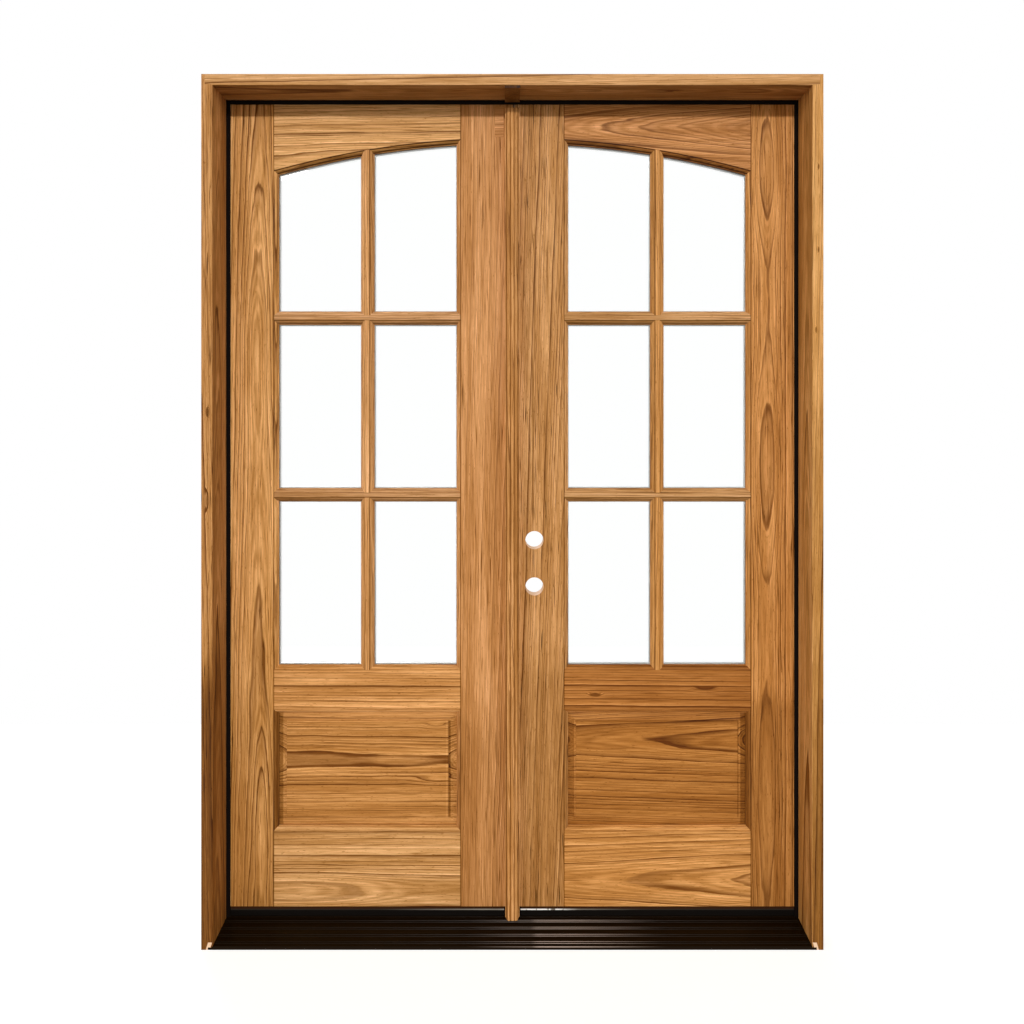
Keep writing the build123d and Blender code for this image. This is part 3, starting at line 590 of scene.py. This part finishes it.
# Painted shade darkens the right reveal towards the head and the front face towards the foot.
board("right_jamb", "z", (940, -40), (193, 138, 76), 52, raw=chip,
      spacing=8, lines=1.2,
      knots=((878, 2246, 5, 16, 7), (878, 2008, 5, 16, 7), (871, 1778, 5, 18, 7)),
      painted_light_and_tone=(({"Y": front_face}, 1.08), ({"Y": behind_face, "Z": (1650, 2700, 500)}, 0.78),
              ({"Y": front_face, "Z": up_to(1560, 120)}, 0.84),
              ({"Y": front_face, "Z": up_to(860, 160)}, 0.72),
              ({"Y": front_face, "Z": up_to(500, 500)}, 0.65),
              ({"X": (886.5, 893), "Z": up_to(720, 8)}, 0.65)))
# Painted shade darkens the head's underside.
board("head_jamb", "x", (2560, -40), (188, 137, 84), 53,
      painted_light_and_tone=(({"Z": (2400, 2493), "Y": behind_face}, 0.72),))
# The block has a dark tone and a deeper painted shade on its front face, as though in the head's
# shadow.
block_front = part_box("head_block")[0].y / mm
board("head_block", "z", (30, 10), (116, 75, 33), 54,
      painted_light_and_tone=(({"Y": (block_front - 1, block_front + 0.6)}, 0.3),))


# The insulated panes: two 3 mm sheets of clear glass, with a grey metal spacer between them at the
# edge, which shows just inside the sight line.
sheet = 3.0
spacer_edge = 0.5
spacer_inset = 13.0
spacer_gap = 0.05
arch_steps = 12


def solid(name, build, body, material):
    """A piece from mesh code, in place in the unit, riding on its body."""
    mesh = bmesh.new()
    build(mesh)
    bmesh.ops.recalc_face_normals(mesh, faces=mesh.faces)
    data = bpy.data.meshes.new(name)
    mesh.to_mesh(data)
    mesh.free()
    data.materials.append(material)
    piece = bpy.data.objects.new(name, data)
    scene.collection.objects.link(piece)
    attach(piece, body)
    return piece


def outline_at(mesh, points, depth):
    """The corners of an outline, at one depth."""
    return [mesh.verts.new((x * mm, depth * mm, z * mm)) for x, z in points]


def walls(mesh, first, second):
    """The faces that join two outlines corner by corner."""
    for i in range(len(first)):
        j = (i + 1) % len(first)
        mesh.faces.new((first[i], first[j], second[j], second[i]))


def sheet_of_glass(mesh, points, front, back):
    """A flat sheet with this outline between two depths."""
    near, far = (outline_at(mesh, points, depth) for depth in (front, back))
    mesh.faces.new(near)
    mesh.faces.new(far)
    walls(mesh, near, far)


def pane_outline(low, high, arched, inset):
    """The pane's edge, drawn in by inset: straight foot and sides, and a flat or arched top."""
    left, right = low.x / mm + inset, high.x / mm - inset
    foot, top = low.z / mm + inset, high.z / mm - inset
    if not arched:
        return [(left, foot), (right, foot), (right, top), (left, top)]
    near = min(abs(low.x), abs(high.x)) / mm
    radius = math.hypot(near, high.z / mm - arch_middle) - inset
    points = [(left, foot), (right, foot)]
    for step in range(arch_steps + 1):
        x = right + (left - right) * step / arch_steps
        points.append((x, arch_middle + math.sqrt(radius ** 2 - x ** 2)))
    return points


def pane(side, row, place):
    """One insulated pane: its two sheets stand for the whole pane, and its spacer is added."""
    node = f"{side}_{row}_{place}_pane"
    low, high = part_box(node)
    front, back = low.y / mm, high.y / mm
    edge, spacer_outside, spacer_inside = (
        pane_outline(low, high, row == "upper", inset) for inset in (0, spacer_edge, spacer_inset))

    def glass(mesh):
        sheet_of_glass(mesh, edge, front, front + sheet)
        sheet_of_glass(mesh, edge, back - sheet, back)

    def rim(mesh):
        depths = (front + sheet + spacer_gap, back - sheet - spacer_gap)
        near_outside, near_inside, far_outside, far_inside = (
            outline_at(mesh, points, depth)
            for depth in depths for points in (spacer_outside, spacer_inside))
        walls(mesh, near_outside, near_inside)
        walls(mesh, near_inside, far_inside)
        walls(mesh, far_inside, far_outside)
        walls(mesh, far_outside, near_outside)

    body = f"{side}_leaf"
    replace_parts(solid(f"{side}_{row}_{place}_glass", glass, body, clear_glass), node)
    solid(f"{side}_{row}_{place}_spacer", rim, body, spacer_metal)


clear_glass, nodes = finish_of("clear_glass")
nodes.surface({"Base Color": (0.996, 1, 0.998, 1), "Transmission Weight": 1, "IOR": 1.45,
               "Roughness": nodes.smooth(nodes.noise(9), 0.5, 0.9) * 0.02})

spacer_metal, nodes = finish_of("spacer_metal")
brushed = nodes.mix(paint(185, 186, 184), paint(214, 214, 210), nodes.noise(300))
nodes.surface({"Base Color": brushed, "Metallic": 0.6, "Roughness": 0.45})

for side in ("left", "right"):
    for row in ("upper", "centre", "lower"):
        for place in ("outer", "inner"):
            pane(side, row, place)


# The weatherstrips at the jambs and the head, and the strip on the astragal: black foam in a thin
# skin, pressed into a kerf with a barb.
black_foam, nodes = finish_of("black_foam")
pores = nodes.noise(700)
relief = {"Height": pores, "Distance": 0.3 * mm, "Strength": 0.4}
nodes.surface({"Base Color": nodes.mix(paint(5, 2, 1), paint(17, 9, 6), pores),
               "Roughness": 0.7 + pores * 0.2, "Specular IOR Level": 0.06,
               "Normal": nodes.node("Bump", {}, relief)})
for node in ("left_weatherstrip", "right_weatherstrip", "head_weatherstrip", "astragal_seal"):
    dress(node, black_foam)


# The soft pads at the astragal's two ends: blocks of the same foam between the leaves at the head,
# and beside the lower bolt at the foot, which stop the draught where the seals meet.
pad_edge = 0.8
pad_depth = (42, 70)
foot_pad_height = (23.5, 50.6)


def pad(name, x, y, z, body="left_leaf"):
    """A foam block between these limits in mm, with softened edges."""
    def build(mesh):
        bmesh.ops.create_cube(mesh, size=1)
        for vertex in mesh.verts:
            part = [(high - low) * at + (low + high) / 2
                    for at, (low, high) in zip(vertex.co, (x, y, z))]
            vertex.co = Vector(part) * mm
        bmesh.ops.bevel(mesh, geom=mesh.edges[:], offset=pad_edge * mm, segments=2, affect="EDGES")
    return solid(name, build, body, black_foam)


pad("astragal_head_pad", (-6.15, 6.1), (44, 60), (2451, 2488.5))
pad("left_foot_pad", (-24.9, -18.2), pad_depth, foot_pad_height)
pad("right_foot_pad", (18.2, 24.9), pad_depth, foot_pad_height, "right_leaf")


# The bottom sweeps: an extruded brown plate under each leaf, with a thin bead and soft black fins
# that drag on the sill cap. A painted highlight lightens the bead towards the middle, with a
# painted glint in patches just right of it.
bead_foot = (39.2, 39.8)
bead_top = (43, 43.6)
glint_place = 80
sweep_vinyl, nodes = finish_of("sweep_vinyl")
axes = nodes.node("SeparateXYZ", {}, {0: millimetres(nodes)})
drag = nodes.noise((6, 400, 400))
fins = nodes.mix(paint(4, 2, 1), paint(14, 10, 7), drag)
# Painted highlight along the bead, brightest in the middle, and a painted glint in patches right of
# it.
painted_highlight = nodes.smooth(nodes.maths("ABSOLUTE", axes["X"]), 420, 30)
bead = nodes.mix(paint(44, 36, 29), paint(170, 162, 148), painted_highlight * (0.2 + drag * 0.7))
glint = nodes.smooth(nodes.maths("ABSOLUTE", axes["X"] - glint_place), 130, 30)
bead = nodes.mix(bead, paint(250, 246, 240), glint * nodes.smooth(nodes.noise(60), 0.44, 0.52))
skirt = nodes.mix(paint(40, 20, 8), paint(62, 34, 15), drag)
lower_part = nodes.mix(fins, bead, nodes.smooth(axes["Z"], *bead_foot))
nodes.surface({"Base Color": nodes.mix(lower_part, skirt, nodes.smooth(axes["Z"], *bead_top)),
               "Roughness": 0.45 + drag * 0.15, "Specular IOR Level": 0.08})
for node in ("left_bottom_sweep", "right_bottom_sweep"):
    dress(node, sweep_vinyl)


# The sill: a sloped tread of dark bronze anodised aluminium with pairs of grip ribs, and a flat cap
# under the leaves, both screwed to a dark composite base. A painted highlight lightens the rib tops
# and the nose, brightest a little right of the middle.
tread_front, tread_foot = -83.35, 9
tread_rise, tread_run = 12, 118
tread_back = 34
dark_bronze, nodes = finish_of("dark_bronze")
axes = nodes.node("SeparateXYZ", {}, {0: millimetres(nodes)})
drawn = nodes.noise((5, 900, 900), 3)
tread = tread_foot + (axes["Y"] - tread_front) * (tread_rise / tread_run)
on_tread = nodes.smooth(axes["Y"], tread_back, tread_back - 1)
crest = nodes.smooth(axes["Z"] - tread, 0.5, 1) * on_tread
nose = nodes.smooth(axes["Y"], -81, -82.5) * nodes.smooth(axes["Z"], 6.5, 8)
# How far the painted highlight on the rib tops and nose reaches across the sill.
highlight_spread = nodes.smooth(axes["X"], -140, 40) * 0.3 + nodes.smooth(axes["X"], 50, 80) * 0.7
highlight_spread = highlight_spread * nodes.smooth(axes["X"], 460, 100)
painted_highlight = nodes.maths("MAXIMUM", crest, nose) * highlight_spread * (0.6 + drawn * 0.9)
bronze = nodes.mix(paint(15, 7, 1), paint(28, 16, 4), drawn)
nodes.surface({"Base Color": nodes.mix(bronze, paint(180, 160, 148), painted_highlight),
               "Roughness": 0.2 + drawn * 0.12, "Specular IOR Level": 0.045})
for node in ("sill_tread", "sill_cap"):
    dress(node, dark_bronze)

sill_core, nodes = finish_of("sill_core")
nodes.surface({"Base Color": nodes.mix(paint(20, 15, 11), paint(40, 32, 26), nodes.noise(500)),
               "Roughness": 0.8, "Specular IOR Level": 0.2})
dress("sill_base", sill_core)


# The hardware, all satin steel: butt hinges let into the leaves and the jambs, and flush bolts that
# slide behind edge plates in the left leaf, with their strikes. Countersunk screws hold the plates.
satin_steel, nodes = finish_of("satin_steel")
rub = nodes.noise((900, 900, 60), 3)
nodes.surface({"Base Color": nodes.mix(paint(150, 148, 143), paint(190, 188, 182), rub),
               "Metallic": 0.9, "Roughness": 0.32 + rub * 0.14})
for node in ("jamb_hinge_leaves", "left_hinge_leaves", "right_hinge_leaves", "bolt_plates",
             "bolt_strikes", "upper_bolt", "lower_bolt"):
    dress(node, satin_steel)


def screws(name, places, body, radius=4.1):
    """Countersunk cross-head screws: where each head lies in mm, and which way it faces."""
    rim_rise, head_rise, recess_floor = 0.02, 0.3, -1.1
    angles = [math.tau * i / 20 for i in range(20)]
    circle = [(math.cos(angle), math.sin(angle)) for angle in angles]
    arm, half = radius * 0.52, radius * 0.14
    cross = [(arm, -half), (arm, half), (half, half), (half, arm),
             (-half, arm), (-half, half), (-arm, half), (-arm, -half),
             (-half, -half), (-half, -arm), (half, -arm), (half, -half)]

    def build(mesh):
        for place, facing in places:
            turn = Vector(facing).to_track_quat("Z", "Y").to_matrix()

            def ring(shape, scale, rise):
                corners = [Vector((x * scale, y * scale, rise)) for x, y in shape]
                return [mesh.verts.new((Vector(place) + turn @ corner) * mm) for corner in corners]

            rim = ring(circle, radius, rim_rise)
            face = ring(circle, radius * 0.86, head_rise)
            lip = ring(cross, 1, head_rise)
            pit = ring(cross, 0.8, recess_floor)
            walls(mesh, rim, face)
            walls(mesh, lip, pit)
            mesh.faces.new(pit)
            mesh.faces.new(rim[::-1])
            edges = [mesh.edges.get((loop[i], loop[i - 1]))
                     for loop in (face, lip) for i in range(len(loop))]
            bmesh.ops.triangle_fill(mesh, use_beauty=True, edges=edges)
    return solid(name, build, body, satin_steel)


hinge_height = 101.6
leaf_plate = 869.85
jamb_plate = 873.0
low, high = (corner.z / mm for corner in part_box("left_hinge_leaves"))
hinges = [low + hinge_height / 2 + (high - low - hinge_height) * i / 3 for i in range(4)]
holes = [(y, z + step) for z in hinges for y, step in ((57, -38), (70, -14), (70, 14), (57, 38))]
screws("left_hinge_screws", [((-leaf_plate, y, z), (-1, 0, 0)) for y, z in holes], "left_leaf")
screws("right_hinge_screws", [((leaf_plate, y, z), (1, 0, 0)) for y, z in holes], "right_leaf")
screws("jamb_hinge_screws", [((side * jamb_plate, y, z), (-side, 0, 0))
                             for side in (-1, 1) for y, z in holes], "frame")

bolt_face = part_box("bolt_plates")[1].x / mm
bolt_depth = 61.125
bolt_heights = (2344.2, 195.8)
bolt_screw_step = 78
screws("bolt_plate_screws", [((bolt_face, bolt_depth, z + step), (1, 0, 0)) for z in bolt_heights
                             for step in (-bolt_screw_step, bolt_screw_step)], "left_leaf", 3.4)

low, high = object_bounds()
